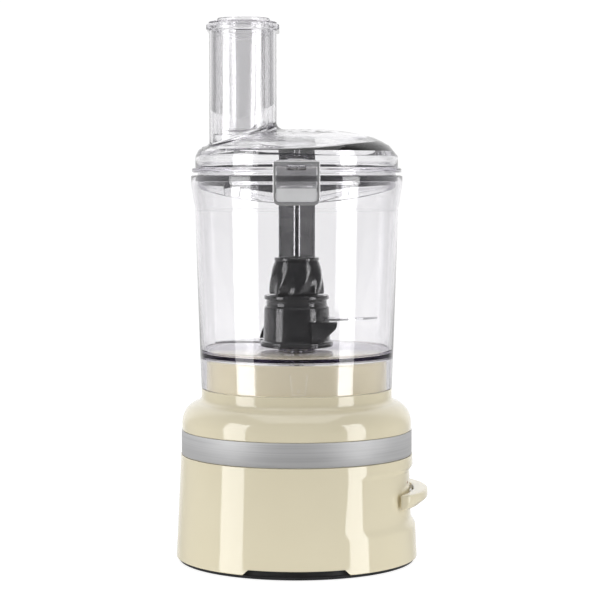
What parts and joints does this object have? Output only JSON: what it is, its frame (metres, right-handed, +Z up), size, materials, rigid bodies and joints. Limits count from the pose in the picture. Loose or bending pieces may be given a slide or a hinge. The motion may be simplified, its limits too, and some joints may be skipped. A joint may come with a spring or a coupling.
{
  "type": "food processor",
  "caption": "Countertop food processor: round motor base with metal band and paddle lever, clear handled bowl, latched hinged lid with wide feed tube, nested pushers and blade.",
  "frame": {"origin": "centre of the underside, on the drive axis at the worktop", "axes": "+Z up along the drive axis, +X towards the front where the paddle lever is, +Y towards the bowl handle"},
  "size_m": [0.2061, 0.2345, 0.4406],
  "materials": {
    "cream_enamel": "smooth glossy cream",
    "brushed_band": "brushed round the band",
    "black_plastic": "fine matt texture",
    "foot_rubber": "matt rubber",
    "clear_plastic": "clear polished plastic with a faint grey-violet tint",
    "seal_rubber": "dark grey silicone",
    "dark_plastic": "dark grey moulded plastic, semi-gloss",
    "latch_chrome": "polished plating",
    "satin_grey": "satin grey",
    "bright_steel": "bright stainless steel",
    "motor_steel": "laminated steel",
    "copper_wire": "enamelled copper",
    "board_green": "printed circuit board"
  },
  "bodies": {
    "base": {"base_housing": "cream_enamel", "trim_band": "brushed_band", "base_plate": "black_plastic", "foot_1": "foot_rubber", "foot_2": "foot_rubber", "foot_3": "foot_rubber", "foot_4": "foot_rubber", "chassis_screw_1": "bright_steel", "chassis_screw_2": "bright_steel", "chassis_screw_3": "bright_steel", "chassis_screw_4": "bright_steel", "base_screw_1": "bright_steel", "base_screw_2": "bright_steel", "base_screw_3": "bright_steel", "base_screw_4": "bright_steel", "control_panel": "cream_enamel", "indicator_lens": "satin_grey", "mains_inlet": "black_plastic", "motor_chassis": "black_plastic", "lower_bearing": "bright_steel", "upper_bearing": "bright_steel", "motor_stator": "motor_steel", "motor_windings": "copper_wire", "drive_belt": "foot_rubber", "control_board": "board_green", "speed_switch": "black_plastic", "interlock_switch": "black_plastic"},
    "motor": {"motor_rotor": "copper_wire", "motor_shaft": "bright_steel", "cooling_fan": "black_plastic", "motor_pulley": "black_plastic"},
    "spindle": {"drive_spindle": "bright_steel", "spindle_pulley": "black_plastic"},
    "lever": {"paddle_lever": "cream_enamel"},
    "bowl": {"bowl": "clear_plastic", "latch_catch": "clear_plastic", "bowl_handle": "clear_plastic", "handle_insert": "dark_plastic", "hinge_pin": "bright_steel"},
    "interlock_rod": {"interlock_rod": "satin_grey"},
    "blade": {"blade_hub": "dark_plastic", "hub_grip": "dark_plastic", "lower_blade": "bright_steel", "upper_blade": "bright_steel"},
    "lid": {"lid": "clear_plastic", "lid_seal": "seal_rubber"},
    "latch": {"latch_frame": "latch_chrome", "latch_plate": "satin_grey", "latch_window": "clear_plastic", "latch_pin": "bright_steel"},
    "food_pusher": {"food_pusher": "clear_plastic"},
    "small_pusher": {"small_pusher": "clear_plastic"}
  },
  "joints": [
    {"name": "spindle_turn", "type": "hinge", "parent": "base", "child": "spindle", "pos_m": [0, 0, 0.1], "axis": [0, 0, 1], "continuous": true},
    {"name": "motor_turn", "type": "hinge", "parent": "base", "child": "motor", "pos_m": [-0.052, 0, 0.05], "axis": [0, 0, 1], "continuous": true},
    {"name": "lever_tilt", "type": "hinge", "parent": "base", "child": "lever", "pos_m": [0.07, 0, 0.054], "axis": [0, -1, 0], "range_deg": [-10, 14]},
    {"name": "bowl_lift", "type": "slide", "parent": "base", "child": "bowl", "axis": [0, 0, 1], "range_m": [0, 0.11]},
    {"name": "rod_press", "type": "slide", "parent": "bowl", "child": "interlock_rod", "axis": [0, 0, 1], "range_m": [-0.003, 0], "stiffness_N_per_m": 300, "springref_m": 0.0005},
    {"name": "blade_turn", "type": "hinge", "parent": "bowl", "child": "blade", "pos_m": [0, 0, 0.2], "axis": [0, 0, 1], "continuous": true},
    {"name": "lid_hinge", "type": "hinge", "parent": "bowl", "child": "lid", "pos_m": [0, 0.097, 0.3301], "axis": [-1, 0, 0], "range_deg": [0, 88]},
    {"name": "latch_swing", "type": "hinge", "parent": "lid", "child": "latch", "pos_m": [0, -0.0909, 0.3225], "axis": [-1, 0, 0], "range_deg": [0, 100]},
    {"name": "pusher_lift", "type": "slide", "parent": "lid", "child": "food_pusher", "axis": [0, 0, 1], "range_m": [0, 0.12]},
    {"name": "cup_lift", "type": "slide", "parent": "food_pusher", "child": "small_pusher", "axis": [0, 0, 1], "range_m": [0, 0.11]}
  ],
  "couplings": [
    {"joint": "motor_turn", "follows": "spindle_turn", "ratio": 4.4},
    {"joint": "blade_turn", "follows": "spindle_turn", "ratio": 1}
  ]
}
